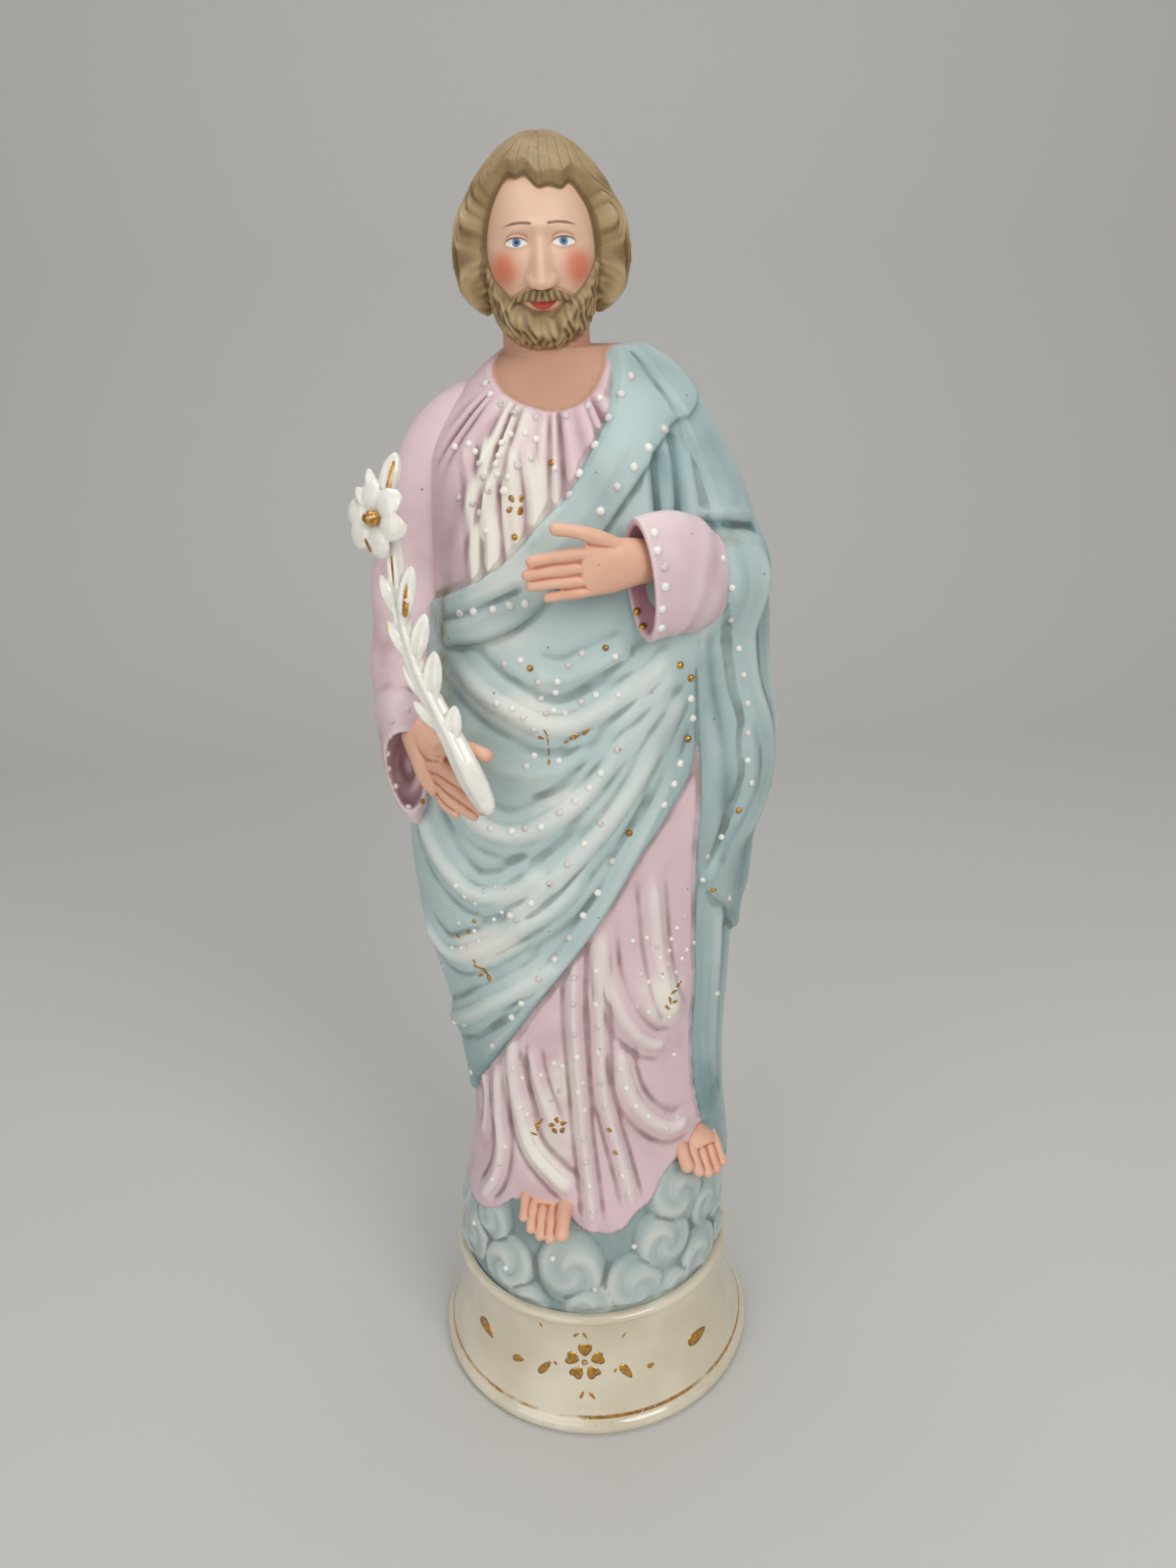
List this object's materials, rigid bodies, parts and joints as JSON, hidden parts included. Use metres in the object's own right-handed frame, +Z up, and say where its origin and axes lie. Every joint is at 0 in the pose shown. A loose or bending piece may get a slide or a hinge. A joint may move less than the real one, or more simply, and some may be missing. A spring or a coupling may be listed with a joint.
{
  "type": "standing saint statue on a round plinth",
  "caption": "Bisque porcelain figure of a bearded saint in a wrapped mantle, holding a lily branch, standing on clouds on a flared round glazed plinth.",
  "frame": {"origin": "centre of the plinth's flat underside", "axes": "+Z up through the figure, -Y the way the figure faces, +X the figure's own left"},
  "size_m": [0.1495, 0.1412, 0.5003],
  "materials": {
    "plinth_glaze": "ivory porcelain glaze, glossy",
    "tinted_bisque": "unglazed bisque porcelain, hand tinted, satin matt",
    "lily_glaze": "white porcelain glaze, glossy"
  },
  "bodies": {
    "root": {"plinth": "plinth_glaze", "figure": "tinted_bisque", "lily_branch": "lily_glaze"}
  },
  "joints": []
}
